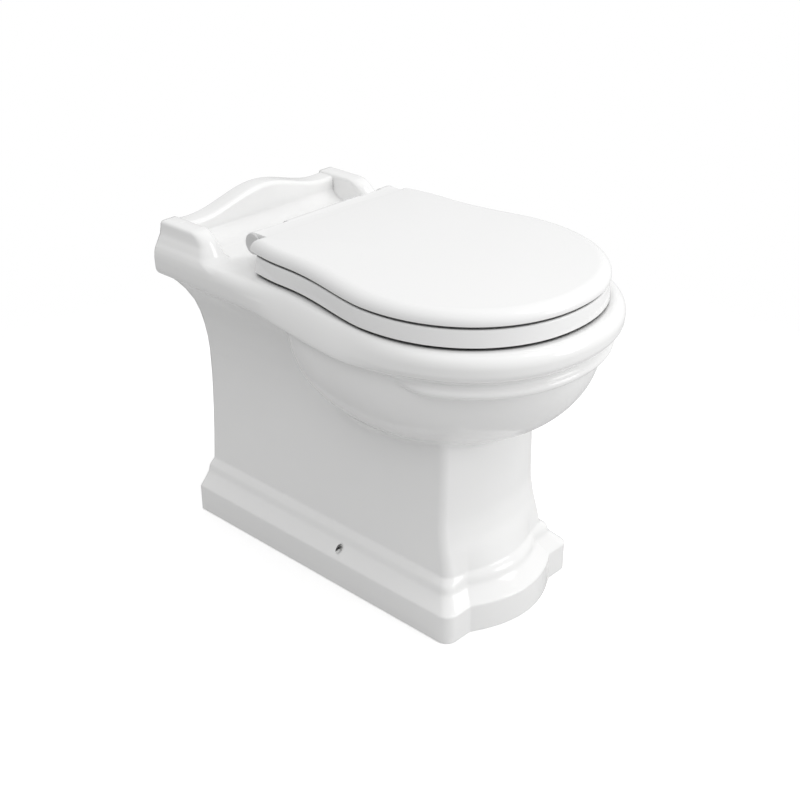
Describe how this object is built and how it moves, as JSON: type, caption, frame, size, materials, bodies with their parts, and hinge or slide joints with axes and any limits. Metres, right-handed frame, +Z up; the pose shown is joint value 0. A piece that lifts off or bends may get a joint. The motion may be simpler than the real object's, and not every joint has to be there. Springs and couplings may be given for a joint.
{
  "type": "toilet",
  "caption": "Back-to-wall floor-standing toilet pan in white china with a shaped upstand, moulded plinth and a hinged oval seat and lid.",
  "frame": {"origin": "on the floor, under the middle of the pan's overall width and depth", "axes": "+Z up; +Y towards the wall the pan backs on to, so the bowl's front faces -Y; +X across"},
  "size_m": [0.3888, 0.596, 0.485],
  "materials": {
    "white_china": "glossy glaze",
    "white_plastic": "gloss",
    "grey_cap_plastic": "satin",
    "pale_rubber": "matt",
    "dark_rubber": "matt",
    "plated_steel": "zinc plated",
    "nylon": "satin"
  },
  "bodies": {
    "pan": {"pan": "white_china", "hinge_gasket_left": "dark_rubber", "hinge_gasket_right": "dark_rubber", "hinge_post_left": "white_plastic", "hinge_post_right": "white_plastic", "hinge_pin_left": "plated_steel", "hinge_pin_right": "plated_steel", "hinge_end_cap_left": "grey_cap_plastic", "hinge_end_cap_right": "grey_cap_plastic", "hinge_stud_left": "plated_steel", "hinge_stud_right": "plated_steel", "stud_washer_left": "dark_rubber", "stud_washer_right": "dark_rubber", "wing_nut_left": "nylon", "wing_nut_right": "nylon", "floor_bracket_left": "plated_steel", "floor_bracket_right": "plated_steel", "side_screw_left": "plated_steel", "side_screw_right": "plated_steel"},
    "seat": {"seat": "white_plastic", "seat_buffer_left_rear": "pale_rubber", "seat_buffer_left_front": "pale_rubber", "seat_buffer_right_rear": "pale_rubber", "seat_buffer_right_front": "pale_rubber"},
    "lid": {"lid": "white_plastic", "lid_buffer_left_rear": "pale_rubber", "lid_buffer_left_front": "pale_rubber", "lid_buffer_right_rear": "pale_rubber", "lid_buffer_right_front": "pale_rubber"}
  },
  "joints": [
    {"name": "seat_hinge", "type": "hinge", "parent": "pan", "child": "seat", "pos_m": [0, 0.148, 0.4635], "axis": [-1, 0, 0], "range_deg": [0, 68]},
    {"name": "lid_hinge", "type": "hinge", "parent": "seat", "child": "lid", "pos_m": [0, 0.148, 0.4635], "axis": [-1, 0, 0], "range_deg": [0, 92]}
  ]
}
